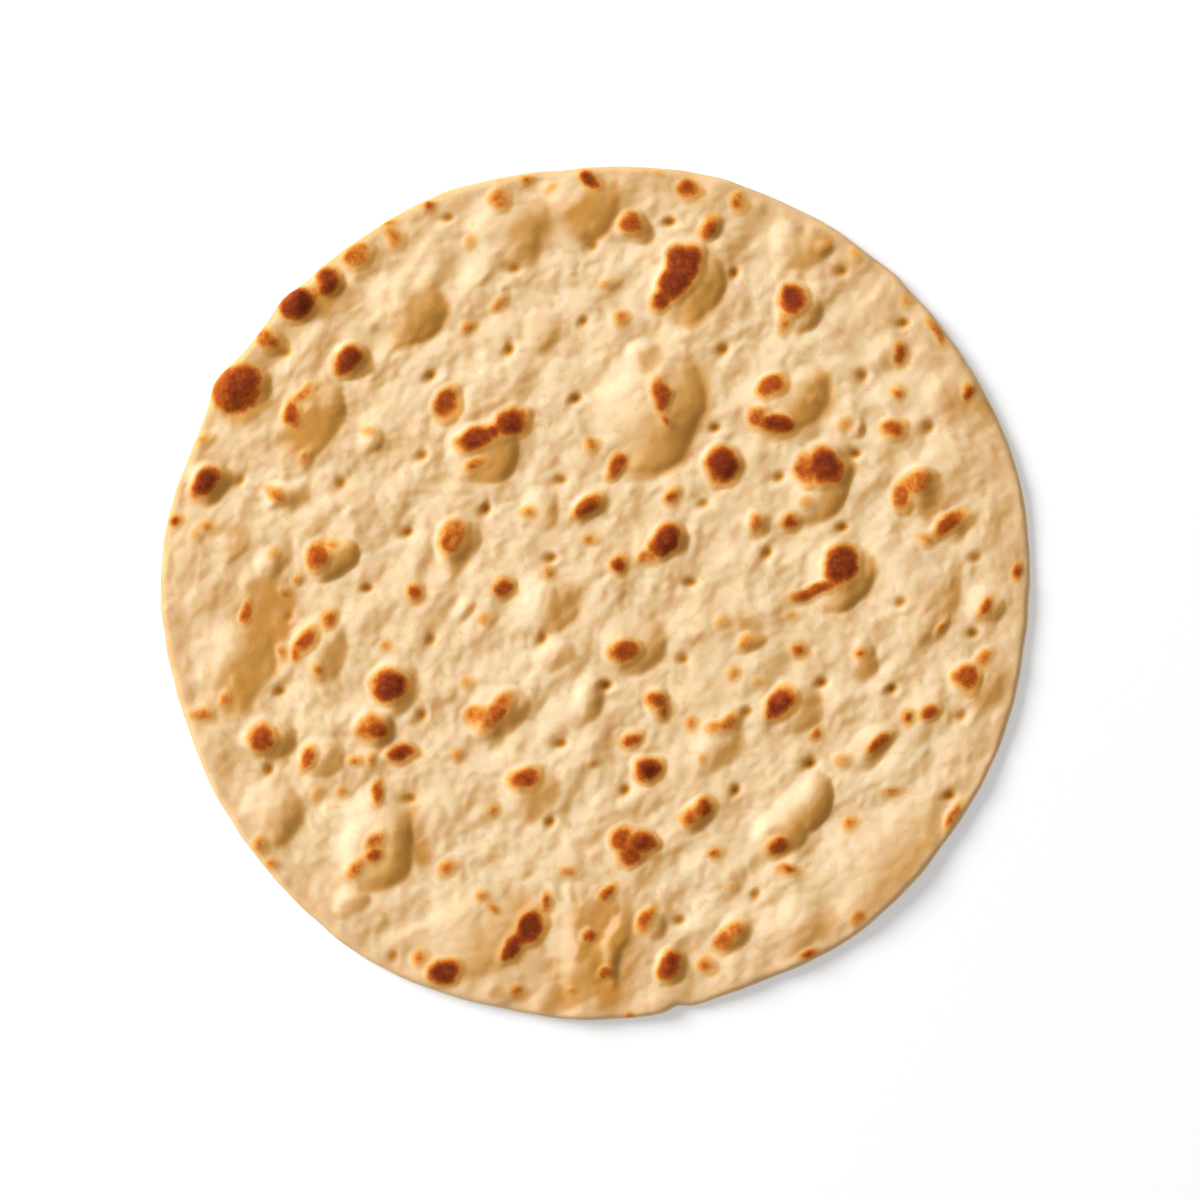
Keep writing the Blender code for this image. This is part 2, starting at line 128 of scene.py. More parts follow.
BLISTER_DRIFT = 1.3  # how far a blister's outline wanders from an oval, and over what length
BLISTER_DRIFT_WAVE = 24.0
BLISTER_RAGGED = 0.8  # the same of its finer unevenness
BLISTER_RAGGED_WAVE = 7.0

# The dough was stretched one way as it was rolled, which left low ridges and creases along it:
# (height, width across the stretch, length along it).
STRETCHED_TOWARDS = 48.0  # degrees from +X
RIDGES = (1.38, 10.0, 15.0)
WRINKLES = ((0.38, 4.6, 5.6), (0.15, 2.5, 2.8))
PEBBLES = ((0.46, 6.0, 7.0), (0.37, 3.8, 4.4))  # rounded lumps with creases between them
PEBBLE_DRIFT = 1.6  # how far the creases wander, and over what length
PEBBLE_DRIFT_WAVE = 9.0
CREASE_ROUND = 0.14  # how soft the creases are: 0 is a sharp fold
PEBBLE_MIDDLE = 0.3  # half way up a pebble
RIDGES_LEFT_ON_BLISTERS = 0.4  # the skin of a blister is stretched smoother
WRINKLES_LEFT_ON_BLISTERS = 0.8
BLISTER_SKIN_FROM = 2.5  # the height of a blister at which its skin is that smooth

# Docking holes: where the pins went in.
DOCKING_HOLES = (
    (-50, 129.5), (0, 120), (26.5, 128), (-27, 112), (48.5, 110.5), (86, 111), (-3.5, 94),
    (107, 93), (45, 84), (-29, 84), (93, 75), (-56, 75), (-6, 67), (42, 57), (116, 57.5),
    (-59, 47.5), (90.5, 48), (-106, 83), (-122, 39), (-87, 38), (-11, 39), (64, 40), (-37, 29),
    (38, 31), (86, 22.6), (-64, 21), (132, 12), (60, 14), (-14.5, 12), (34, 3.6), (-78, 1.6),
    (106, -3), (-105, -8), (131, -14), (-56, -16), (-17.6, -15.7), (31, -23), (79, -31),
    (103, -33), (-108, -34), (4.5, -32), (-59, -42), (53, -41), (127, -42), (-11, -52),
    (75, -59), (-112, -61), (11, -68), (49, -68), (123, -70), (-63, -71), (-15, -79),
    (56, -104), (30, -113), (-69, -125),
)
PIN_DEPTH = 1.1
PIN_LENGTH = 3.8
PIN_WIDTH = 2.9
PIN_PRESS = (0.55, 1.0)  # how far a pin went in, drawn for each hole
PLATE_DEPTH = 0.6  # the soft hollow that the pin's plate left, long towards its lower left
PLATE_LENGTH = 7.2
PLATE_WIDTH = 4.4
PLATE_OFFSET = 1.3
PLATE_TURN = (10.0, 65.0)  # degrees from +X, drawn for each hole
PIN_DARKENED = 0.65  # how dark the hole is painted, and the hollow round it: browning, with painted shade in the recess
PLATE_DARKENED = 0.42

# Toasted spots: (x, y, length, width, turn, how dark).
FAINT, ORANGE, BROWN, CHAR = 0.22, 0.42, 0.70, 0.93
TOASTED_SPOTS = (
    # upper left
    (-123, 70, 19, 17, 50, 0.64), (-121.5, 71.5, 14, 12, 50, 0.86),
    (-102.5, 99.5, 13, 10, 20, 0.92), (-92, 107.5, 9, 7, 90, 0.92), (-96.5, 103, 7, 5, 60, 0.35),
    (-82, 116.5, 10, 7, 20, 0.48), (-112.6, 87.6, 11, 7, -30, 0.48), (-85, 80, 12, 8, 45, CHAR),
    (-57.5, 133.5, 4, 3, 0, BROWN), (-69, 122.5, 8, 5, -60, 0.33), (-71, 127.5, 4, 2.5, 35, 0.5),
    (-104, 61, 9, 5, 100, BROWN), (-100.5, 68.5, 10, 4, 40, 0.4), (-51, 65.5, 11, 8, 70, BROWN),
    (-78, 56, 4, 3, 0, FAINT), (-135, 52.5, 5, 4, 0, FAINT), (-32.5, 136, 6, 7, 0, ORANGE),
    (-23.5, 142, 4, 4, 0, ORANGE), (-14.5, 140, 4, 2, 40, FAINT), (-33, 100, 6, 3, 40, ORANGE),
    (-44, 92, 4, 4, 0, ORANGE), (-43, 121, 3, 4, 0, FAINT), (-28.7, 58.5, 11.5, 9, 25, CHAR),
    (-40.7, 53, 13.5, 7.5, 15, 0.9), (-34.5, 55.5, 7, 5, 30, 0.9), (-40.7, 44, 8, 4.5, 20, ORANGE),
    # upper right
    (-1.5, 142.5, 8, 5, -45, CHAR), (21.5, 145, 4, 3, 0, FAINT), (32.5, 139.5, 7, 6, 0, BROWN),
    (50, 135, 6, 6, 0, ORANGE), (12.5, 127.5, 8, 7, 0, BROWN), (39.5, 125.5, 8, 4.5, 60, BROWN),
    (31, 113.5, 12, 13, 0, CHAR), (28, 107.5, 15, 9.5, 62, CHAR), (23.5, 101.5, 9, 5.5, 60, 0.85),
    (5, 106.5, 5, 3, 0, FAINT), (9, 94.5, 5, 4, 40, ORANGE), (23, 68, 11, 6, 100, BROWN),
    (25, 59, 6, 3, -60, ORANGE), (7.5, 44, 9, 5, 60, BROWN), (-1, 51, 4, 4, 0, ORANGE),
    (68.5, 101, 9, 10, 0, CHAR), (66, 94, 6, 8, 0, FAINT), (66, 92, 4, 4, 0, ORANGE),
    (90, 117, 4, 4, 0, FAINT), (108, 101, 4, 4, 0, FAINT), (118, 90, 10, 3, -60, ORANGE),
    (105, 82, 7, 4.5, 90, 0.55), (104.5, 69, 3.5, 3.5, 0, 0.55), (103, 56.5, 7.5, 5.5, 0, 0.55),
    (129, 69.5, 4, 5, 0, BROWN), (61.5, 71.5, 10, 6, 40, BROWN), (63.5, 58, 11.5, 7, 5, 0.9),
    (56.5, 60.5, 7, 6, -40, 0.6), (76, 66, 3, 3, 0, ORANGE), (86.5, 58, 4, 4, 0, FAINT),
    (44, 44, 11, 12, 0, CHAR), (79.5, 43.5, 12.5, 12.5, 0, CHAR), (73.5, 42.5, 8, 10, 0, 0.6),
    (73, 31, 4, 4, 0, FAINT), (67.7, 24.4, 6, 5, 0, BROWN), (56.3, 24, 7, 5, 100, ORANGE),
    (106, 33, 9, 7, 90, 0.6), (111, 38, 12, 8, 20, ORANGE), (114, 30, 6, 5, 0, FAINT),
    (122, 24, 13, 5, 35, BROWN), (114.7, 18.5, 4, 3, 0, ORANGE), (145.5, 7.4, 3, 4, 0, CHAR),
    # left
    (-134, 38, 12, 8, 50, CHAR), (-145, 25, 4, 3, 0, CHAR), (-134, 23, 4, 3, 0, ORANGE),
    (-137, 20, 4, 3, 0, FAINT), (-109, 33.7, 9, 4, -25, ORANGE), (-100, 46, 4, 4, 0, ORANGE),
    (-110, 14, 4, 4, 0, FAINT), (-95.4, 13, 10, 7, 60, BROWN), (-90, 17, 4, 3, 0, ORANGE),
    (-102.6, 5, 3, 3, 0, ORANGE), (-107, 0, 3, 3, 0, ORANGE), (-62, 0, 6, 5, 60, BROWN),
    (-120, -7, 7, 3.5, 85, BROWN), (-123, -31, 4, 4, 0, FAINT), (-127, -37, 4, 4, 0, ORANGE),
    (-108, -20.6, 4, 3, 90, ORANGE), (-92, -9, 5, 4, 70, BROWN), (-99.5, -16.4, 10, 5, 45, BROWN),
    (-102.6, -20.6, 4, 3, 60, BROWN), (-95, -27.5, 4, 4, 0, ORANGE), (-72, -18, 3, 3, 0, ORANGE),
    (-70.5, -32, 12, 11, 0, CHAR), (-76.4, -47, 11, 9, 0, ORANGE), (-75, -47.5, 8, 7, 0, BROWN),
    (-135, -42, 8, 4, 0, ORANGE), (-114.7, -50, 9, 9, 0, BROWN), (-99, -57, 7, 5, 70, BROWN),
    (-66.4, -55, 8.5, 6, 10, 0.85), (-82, -58, 4, 3, 0, ORANGE), (-77, -58, 3, 4, 0, ORANGE),
    # middle
    (-2.4, 29.5, 11, 6, 40, BROWN), (27, 33, 5, 4, 50, BROWN), (-23, 27.5, 3, 3, 0, ORANGE),
    (-48.7, 18.8, 12, 9, 70, ORANGE), (-50.5, 18, 7, 4, 80, BROWN), (24.5, 18, 12, 9, 50, CHAR),
    (20, 13.5, 7, 4, 45, ORANGE), (17.6, 12.3, 6, 3, 40, ORANGE), (8.6, 9.8, 5, 6, 0, CHAR),
    (-1.4, 18.8, 4, 3, 0, ORANGE), (-31.4, 1.6, 7, 6, 0, BROWN), (-16, 6.7, 3, 3, 0, ORANGE),
    (-37, -9, 4, 4, 0, FAINT), (10.7, -20, 10, 8, 0, BROWN), (-33.5, -41, 17, 7, 50, ORANGE),
    (-33.5, -42, 8, 5, 45, BROWN), (-40, -42, 9, 6, 20, ORANGE), (-44, -31, 4, 4, 0, FAINT),
    (21.4, -37, 6, 6, 0, BROWN), (23.8, -40.6, 6, 5, 0, ORANGE), (33.5, -45, 3, 4, 0, ORANGE),
    (44.6, -10, 4, 4, 0, FAINT), (48, -28, 3, 3, 0, ORANGE), (52, -17, 5, 4, 45, ORANGE),
    (46.3, -45, 9, 4, 40, ORANGE), (41.5, -46.5, 5, 3, 0, ORANGE), (64.3, -38, 12, 8, 50, CHAR),
    # right
    (85.4, 9.5, 12, 13, 0, CHAR), (76.4, 1, 18, 4, 20, BROWN), (134.8, -4.7, 7, 3.5, 60, BROWN),
    (119.6, -12, 8, 3, 65, ORANGE), (68, -8, 4, 3, 0, FAINT), (70.8, -20, 4, 4, 0, BROWN),
    (92, -21, 3, 3, 0, BROWN), (56, -31, 3, 3, 0, FAINT), (128.6, -29.5, 8, 8, 0, BROWN),
    (134, -23, 8, 4, 45, ORANGE), (107.8, -43, 4, 3.5, 90, BROWN), (115.4, -41.3, 6, 4, 20, BROWN),
    (76.7, -48.6, 4, 3, 60, BROWN), (98, -52, 9, 4, 45, 0.6), (85.7, -58, 4, 4, 0, FAINT),
    # lower left
    (-87, -68, 3, 3, 0, ORANGE), (-96, -70, 4, 4, 0, FAINT), (-75, -68.6, 8, 4, 85, BROWN),
    (-75.3, -86, 9, 5, 60, ORANGE), (-76, -90.7, 6, 4, 30, BROWN), (-82, -95, 8, 4, 45, ORANGE),
    (-115, -87, 5, 5, 0, ORANGE), (-112, -93.5, 4, 4, 0, ORANGE), (-60, -126, 4, 4, 0, ORANGE),
    (-52, -130.5, 11, 8, 30, CHAR), (-51, -95, 5, 4, 60, ORANGE), (-47, -56, 3, 3, 0, ORANGE),
    (-24, -64, 11, 7, 15, BROWN), (-35, -75.5, 3, 3, 0, ORANGE), (-38.4, -104.6, 4, 3, 0, ORANGE),
    (-35, -108.7, 4, 3, -45, ORANGE), (-22, -115, 13, 8, 60, CHAR), (-28.5, -122.5, 12, 6, 50, 0.9),
    (-16.6, -107, 3, 5, 0, BROWN), (-27, -138, 5, 5, 0, ORANGE), (12, -146, 2, 2, 0, BROWN),
    (-9.3, -96.6, 4, 3, 0, ORANGE),
    # lower right
    (0, -58.6, 3, 2, 0, ORANGE), (12.4, -51, 6, 4, 20, BROWN), (18.7, -61, 9, 8, 0, CHAR),
    (37.7, -57, 3, 3, 0, FAINT), (37.5, -74.5, 8, 6, 55, BROWN), (33.5, -77.5, 7, 6, 30, 0.48),
    (9.5, -85, 8, 8, 0, BROWN), (16.5, -86, 9, 8, 0, 0.85), (12.5, -90, 9, 7, 45, BROWN),
    (42, -90, 3, 3, 0, BROWN), (4.5, -104, 6, 4, 50, BROWN), (-1.4, -118, 5, 5, 0, BROWN),
    (3.5, -131.5, 5, 4, 0, BROWN), (-8, -137, 2.5, 2.5, 0, BROWN), (18, -112.5, 8, 4, 60, BROWN),
    (26, -128.7, 11, 7, 65, CHAR), (38.4, -128.4, 5, 5, 0, ORANGE), (45, -119.5, 8, 6, 45, 0.55),
    (49, -116.5, 7, 6, 45, ORANGE), (47.7, -102, 4, 3, 0, FAINT), (63.2, -87.3, 8, 6, 30, BROWN),
    (66.7, -95.6, 6, 3, 0, BROWN), (103, -68.6, 6, 2, 0, ORANGE), (88, -79, 5, 3, 60, ORANGE),
    (123.7, -77, 10, 3, 65, 0.5), (90.5, -112, 5, 4, 60, ORANGE), (73.3, -124.6, 5, 3, 30, BROWN),
)
TOAST_EDGE = 1.8  # how wide the change from bread to toast is, either side of its middle
TOAST_SETBACK = 0.6  # how far inside a spot's outline that middle lies
HALO_EDGE = 2.4  # how wide the fade of the golden ring round a spot is, as for its edge
HALO_OUTSIDE = 1.3  # how far outside the outline the middle of that fade lies
HALO_SHARE = 0.26  # the ring's share of a spot's darkness
HALO_SHIFT = 0.6  # how far the ring lies down the lean, so that it also paints shade on a spot's own lee
TOAST_DRIFT = 0.5  # how far a spot's outline wanders from an oval, and over what length
TOAST_DRIFT_WAVE = 12.0
TOAST_RAGGED = 0.4  # the same of its finer unevenness
TOAST_RAGGED_WAVE = 3.0
TOAST_BUMP = 2.0  # how far a charred spot of this width stands up as a small blister of its own
TOAST_BUMP_WIDTH = 12.0
TOAST_BUMP_SPREAD = 1.45  # how far the bump reaches, as a share of the spot
TOAST_LEE = 1.5  # how strong the painted shade on the lee of such a spot is, and how far past the spot it reaches
TOAST_LEE_WIDTH = 1.8

# Broad patches that baked golden but never toasted, and one painted shadow: (x, y, length, width,
# turn, how golden).
GOLDEN_PATCHES = (
    (7, -119, 36, 10, 83, 1.3), (2, -124, 50, 30, 95, 1.1), (-11, -135, 26, 22, 60, 1.1),
    (-98, 60, 32, 23, 70, 1.2), (-90, 101, 17, 14, 60, 1.2), (-113, -7, 26, 22, 60, 1.4),
    (-121, -28, 32, 16, 65, 1.0), (-4, 132, 14, 20, -45, 1.0), (76, 122, 18, 9, -30, 0.7),
    (35, 62, 28, 9, 75, 0.7), (18, 80, 11, 11, 0, 0.5), (-20, 93, 15, 10, 45, 0.5),
    (-92, 98, 16, 9, 45, 0.5), (-60, 98, 18, 16, 0, 0.7), (-126, 22, 14, 9, 0, 0.6),
    (124, 2, 16, 11, 0, 0.5), (74, -37, 15, 9, 0, 0.5), (-12, 4, 18, 8, 10, 0.3),
    (-65, -92, 22, 9, 80, 0.5), (54, -14, 18, 9, 110, 0.9), (-108, -44, 11, 9, 0, 0.4),
    (-84, -110, 13, 11, 0, 0.5), (38, -130, 20, 9, 0, 0.5), (89, 43, 11, 9, 0, 0.4),
    (118, 29, 14, 10, 60, 1.0), (93, -24, 15, 9, 80, 0.9), (135, 63, 16, 9, -55, 0.6),
    (-32, -138, 10, 8, 0, 0.9), (-33, 48, 16, 14, 0, 0.8),
    # The patch at (-60, -87) is painted shadow, cast on the dough beside the tall blister at (-75,
    # -84).
    (108, -78, 24, 18, 45, 0.3), (78, 120, 14, 9, 60, 1.4), (-60, -87, 8, 20, 10, 0.9),
    (37, 136, 8, 12, 0, 0.8), (-25, 125, 20, 12, 60, 0.6), (38, 112, 12, 24, 20, 0.4),
)
GOLDEN_FALL = 3  # the power of the way out: more is a harder edge to a patch
GOLDEN_UNEVEN = 0.8  # how streaky those patches are, with streaks this wide and long
GOLDEN_STREAK = (4.5, 8.0)
GOLDEN_RIM_FROM = 108.0  # from the middle: outside it the crust bakes steadily more golden
GOLDEN_RIM = 0.5
GOLDEN_EDGE = 1.0  # and most golden of all on the very edge, on the side of the oven's flame
GOLDEN_EDGE_HEADING = 140.0  # degrees from +X
GOLDEN_EDGE_WIDTH = 3.0
EDGE_ALL_ROUND, EDGE_BY_FLAME = 0.55, 0.45  # shares of that edge
UNDERSIDE_GOLD = 0.6
UNDERSIDE_CLOUD = 22.0
LEE_RIM_WIDTH = 6.0  # within this of the rim the painted shade and highlight, set by which way the surface faces, grow weaker
LEE_ON_RIM = 0.0
BLISTER_BAKED_FROM = 3.0  # the height from which a blister's top has the full tint of its skin

BALL_DIVISIONS = 8  # of the ball of dough that is pressed flat
BALL_EQUATOR = -0.02  # the ball's points below this height are the underside, clear of the rim
UNDERSIDE_KEPT = 0.12  # share of the flat underside's faces that are kept

# Each kind of unevenness is drawn with a number of its own, so that no two follow each other.
NOISE_STEP = 17.3  # how far apart the slices of noise lie that two numbers take
RIDGE_SEED, WRINKLE_SEED, PEBBLE_SEED, RIM_SEED = 1, 2, 31, 10
SWELL_SEED, DRIFT_SEEDS, RAGGED_SEEDS = 1, (3, 4), (6, 7)
TOAST_DRIFT_SEEDS, TOAST_RAGGED_SEEDS, PEBBLE_DRIFT_SEEDS = (5, 6), (8, 9), (21, 22)
DOCKING_SEED, GOLDEN_SEED, UNDERSIDE_SEED = 11, 12, 13
WAVE_LENGTHS = (0.75, 1.35)  # shortest and longest wave of an unevenness, as shares of its own
NEARLY_NOTHING = 0.01  # keeps the middle of a blister from having no direction


def smooth_step(value):
    value = np.clip(value, 0.0, 1.0)
    return value * value * (3.0 - 2.0 * value)


def soft_waves(x, y, wavelength, seed, count=7):
    """Smooth unevenness, about -1 to 1: a seeded sum of long waves that run in all directions."""
    draw = np.random.default_rng(seed)
    total = np.zeros_like(x)
    for _ in range(count):
        heading = draw.uniform(0.0, 2.0 * math.pi)
        length = wavelength * draw.uniform(*WAVE_LENGTHS)
        along = x * math.cos(heading) + y * math.sin(heading)
        total += np.sin(2.0 * math.pi * along / length + draw.uniform(0.0, 2.0 * math.pi))
    return total / math.sqrt(count)


def dough_noise(x, y, across, along, seed):
    """Perlin noise, about -1 to 1, with bumps of this width and length along the stretch."""
    turn = math.radians(STRETCHED_TOWARDS)
    u = (x * math.cos(turn) + y * math.sin(turn)) / along
    v = (y * math.cos(turn) - x * math.sin(turn)) / across
    return np.array([noise.noise((i, j, NOISE_STEP * seed)) for i, j in zip(u, v)])


def ragged(x, y, far, wave, seeds):
    """Places moved this far by noise, so that what is drawn there gets an uneven outline."""
    moved_x = x + far * dough_noise(x, y, wave, wave, seeds[0])
    moved_y = y + far * dough_noise(x, y, wave, wave, seeds[1])
    return moved_x, moved_y


def wrinkled_skin(x, y):
    """Wrinkles and pebbles that the skin set in, and the pebbles alone, whose creases get painted
    shade.
    """
    wrinkles = np.zeros_like(x)
    for number, (height, across, along) in enumerate(WRINKLES):
        wrinkles += height * dough_noise(x, y, across, along, WRINKLE_SEED + number)
    x, y = ragged(x, y, PEBBLE_DRIFT, PEBBLE_DRIFT_WAVE, PEBBLE_DRIFT_SEEDS)
    pebbles = np.zeros_like(x)
    for number, (height, across, along) in enumerate(PEBBLES):
        lumps = dough_noise(x, y, across, along, PEBBLE_SEED + number)
        pebbles += height * (np.hypot(lumps, CREASE_ROUND) - PEBBLE_MIDDLE)
    return wrinkles + pebbles, pebbles


def rim_radius(angle):
    """How far the crust reaches at an angle: the waves that pass through the measured reaches."""
    waves = np.fft.rfft(RIM_REACH) / len(RIM_REACH)
    reach = np.full_like(angle, waves[0].real)
    for number in range(1, RIM_WAVES + 1):
        wave = waves[number]
        reach += 2.0 * (wave.real * np.cos(number * angle) - wave.imag * np.sin(number * angle))
    round_x = CRUST_ACROSS / 2.0 * np.cos(angle)
    round_y = CRUST_ACROSS / 2.0 * np.sin(angle)
    stray = RIM_RAGGED * dough_noise(round_x, round_y, RIM_RAGGED_WAVE, RIM_RAGGED_WAVE, RIM_SEED)
    for heading, half_width, out in RIM_BULGES:
        stray += out * np.exp(-((np.degrees(angle) - heading) / half_width) ** 2)
    return CRUST_ACROSS / 2.0 * reach + stray


def curl(x, y):
    """How far the rim lifts off the table, counted on the underside."""
    angle = np.degrees(np.arctan2(y, x))
    outwards = smooth_step((np.hypot(x, y) - CURL_STARTS) / (CRUST_ACROSS / 2.0 - CURL_STARTS))
    lift = np.zeros_like(x)
    for heading, half_width, height in RIM_CURLS:
        off = (angle - heading + 180.0) % 360.0 - 180.0
        lift += height * np.exp(-(off / half_width) ** 2)
    return lift * outwards


def oval_reach(x, y, middle_x, middle_y, length, width, turn):
    """0 in the middle of an oval and 1 on its outline."""
    cosine = math.cos(math.radians(turn))
    sine = math.sin(math.radians(turn))
    along = (x - middle_x) * cosine + (y - middle_y) * sine
    across = (y - middle_y) * cosine - (x - middle_x) * sine
    return np.hypot(2.0 * along / length, 2.0 * across / width)


def along_lean(x, y):
    """How far a place lies towards the side that the blisters lean to."""
    return x * math.cos(math.radians(BLISTERS_LEAN)) + y * math.sin(math.radians(BLISTERS_LEAN))


def leaning_blister(x, y, oval, height):
    """Height of one blister, 0 to 1, and the painted shade on its lee."""
    leaning = float(smooth_step((oval[2] - UPRIGHT_TO) / (LEANING_FROM - UPRIGHT_TO)))
    sharp = float(smooth_step((height - SHARP_FOOT[0]) / (SHARP_FOOT[1] - SHARP_FOOT[0])))
    away_x = x - oval[0]
    away_y = y - oval[1]
    down_lean = along_lean(away_x, away_y)
    down_lean /= np.maximum(np.hypot(away_x, away_y), NEARLY_NOTHING)
    steep = smooth_step((down_lean - STEEP_SIDE[0]) / (STEEP_SIDE[1] - STEEP_SIDE[0]))
    steep *= LEAST_SHARP + (1.0 - LEAST_SHARP) * sharp
    foot = BLISTER_FOOT[0] + (BLISTER_FOOT[1] - BLISTER_FOOT[0]) * steep
    foot = BUTTON_FOOT + (foot - BUTTON_FOOT) * leaning
    reach = oval_reach(x, y, *oval)
    dome = (1.0 - np.minimum(reach, 1.0) ** BLISTER_FLAT_TOP) ** foot
    fade = LEE_FADE[0] + (LEE_FADE[1] - LEE_FADE[0]) * sharp
    # Painted shade: golden-brown down the lean, on the side turned from the lamp.
    golden = smooth_step((reach * down_lean - LEE_SHADE_SPAN[0]) / (LEE_SHADE_SPAN[1] - LEE_SHADE_SPAN[0]))
    golden *= smooth_step((1.0 + LEE_OUTSIDE - reach) / fade)
    return dome, golden * (LEE_LOW + (1.0 - LEE_LOW) * sharp)


def blister_height(x, y):
    """How far the blisters lift the top, the taller winning softly, and the painted shade on their
    lee.
    """
    to_x, to_y = ragged(x, y, BLISTER_RAGGED, BLISTER_RAGGED_WAVE, RAGGED_SEEDS)
    to_x += BLISTER_DRIFT * soft_waves(x, y, BLISTER_DRIFT_WAVE, DRIFT_SEEDS[0])
    to_y += BLISTER_DRIFT * soft_waves(x, y, BLISTER_DRIFT_WAVE, DRIFT_SEEDS[1])
    total = np.zeros_like(x)
    golden = np.zeros_like(x)
    for *oval, height in BLISTERS:
        dome, lee = leaning_blister(to_x, to_y, oval, height)
        total += (height * dome) ** BLISTERS_MEET
        golden = np.maximum(golden, lee)
    return total ** (1.0 / BLISTERS_MEET), golden


def docking(x, y):
    """How deep the pins pressed, and how dark their holes are painted (0 to 1): browning, with
    painted shade in the hollows.
    """
    draw = np.random.default_rng(DOCKING_SEED)
    depth = np.zeros_like(x)
    dark = np.zeros_like(x)
    for hole_x, hole_y in DOCKING_HOLES:
        turn = draw.uniform(*PLATE_TURN)
        plate_x = hole_x - PLATE_OFFSET * math.cos(math.radians(turn))
        plate_y = hole_y - PLATE_OFFSET * math.sin(math.radians(turn))
        press = draw.uniform(*PIN_PRESS)
        plate = np.exp(-oval_reach(x, y, plate_x, plate_y, PLATE_LENGTH, PLATE_WIDTH, turn) ** 2)
        pin = press * np.exp(-oval_reach(x, y, hole_x, hole_y, PIN_LENGTH, PIN_WIDTH, turn) ** 2)
        depth += PLATE_DEPTH * plate + PIN_DEPTH * pin
        dark += PLATE_DARKENED * plate + PIN_DARKENED * pin
    return depth, np.clip(dark, 0.0, 1.0)


def toast(x, y):
    """How toasted the top is (0 to 1), how far its spots stand up, and the painted shade on their
    lee.
    """
    to_x, to_y = ragged(x, y, TOAST_RAGGED, TOAST_RAGGED_WAVE, TOAST_RAGGED_SEEDS)
    to_x += TOAST_DRIFT * soft_waves(x, y, TOAST_DRIFT_WAVE, TOAST_DRIFT_SEEDS[0])
    to_y += TOAST_DRIFT * soft_waves(x, y, TOAST_DRIFT_WAVE, TOAST_DRIFT_SEEDS[1])
    # The golden ring is moved down the lean: painted shade on each spot's lee.
    shifted_x = to_x - HALO_SHIFT * math.cos(math.radians(BLISTERS_LEAN))
    shifted_y = to_y - HALO_SHIFT * math.sin(math.radians(BLISTERS_LEAN))
    heat = np.zeros_like(x)
    bump = np.zeros_like(x)
    golden = np.zeros_like(x)
    for *oval, dark in TOASTED_SPOTS:
        half_size = math.sqrt(oval[2] * oval[3]) / 2.0
        reach = oval_reach(to_x, to_y, *oval)
        inside = (1.0 - reach) * half_size
        inside_halo = (1.0 - oval_reach(shifted_x, shifted_y, *oval)) * half_size
        core = smooth_step(0.5 + (inside - TOAST_SETBACK) / (2.0 * TOAST_EDGE))
        halo = smooth_step(0.5 + (inside_halo + HALO_OUTSIDE) / (2.0 * HALO_EDGE))
        halo *= HALO_SHARE * math.sqrt(dark)
        heat = np.maximum(heat, dark * core * (1.0 - HALO_SHARE) + halo)
        stands = math.sqrt(dark * oval[3] / TOAST_BUMP_WIDTH)
        bump = np.maximum(bump, stands * (1.0 - np.minimum(reach / TOAST_BUMP_SPREAD, 1.0) ** 2))
        # Painted shade on the lee of a spot that stands up, reaching past it.
        length, width = (across + 2.0 * TOAST_LEE_WIDTH for across in oval[2:4])
        wide = (*oval[:2], length, width, oval[4])
        lee = leaning_blister(to_x, to_y, wide, SHARP_FOOT[1])[1]
        golden = np.maximum(golden, min(TOAST_LEE * stands, 1.0) * lee)
    return heat, TOAST_BUMP * bump, golden


def golden_bake(x, y, depth_in):
    """How golden the bread baked without toasting, in broad patches and most on the rim, with one
    patch of painted shadow.
    """
    reach_rim = np.hypot(x, y) - GOLDEN_RIM_FROM
    gold = GOLDEN_RIM * smooth_step(reach_rim / (CRUST_ACROSS / 2.0 - GOLDEN_RIM_FROM))
    uneven = 1.0 + GOLDEN_UNEVEN * dough_noise(x, y, *GOLDEN_STREAK, GOLDEN_SEED)
    for *oval, strength in GOLDEN_PATCHES:
        patch = np.exp(-oval_reach(x, y, *oval) ** GOLDEN_FALL)
        gold = np.maximum(gold, strength * uneven * patch)
    off_flame = np.arctan2(y, x) - math.radians(GOLDEN_EDGE_HEADING)
    edge = GOLDEN_EDGE * (EDGE_ALL_ROUND + EDGE_BY_FLAME * np.cos(off_flame))
    return np.maximum(gold, edge * np.exp(-depth_in / GOLDEN_EDGE_WIDTH))


def scorched_underside(x, y):
    """How golden the underside baked: in wide soft clouds, where it touched the hot plate."""
    clouds = dough_noise(x, y, UNDERSIDE_CLOUD, UNDERSIDE_CLOUD, UNDERSIDE_SEED)
    return UNDERSIDE_GOLD * (1.0 + clouds)


def rounded(depth_in, width):
    """0 at the edge, 1 past the round, along a quarter of an ellipse."""
    return np.sqrt(1.0 - (1.0 - np.clip(depth_in / width, 0.0, 1.0)) ** 2)


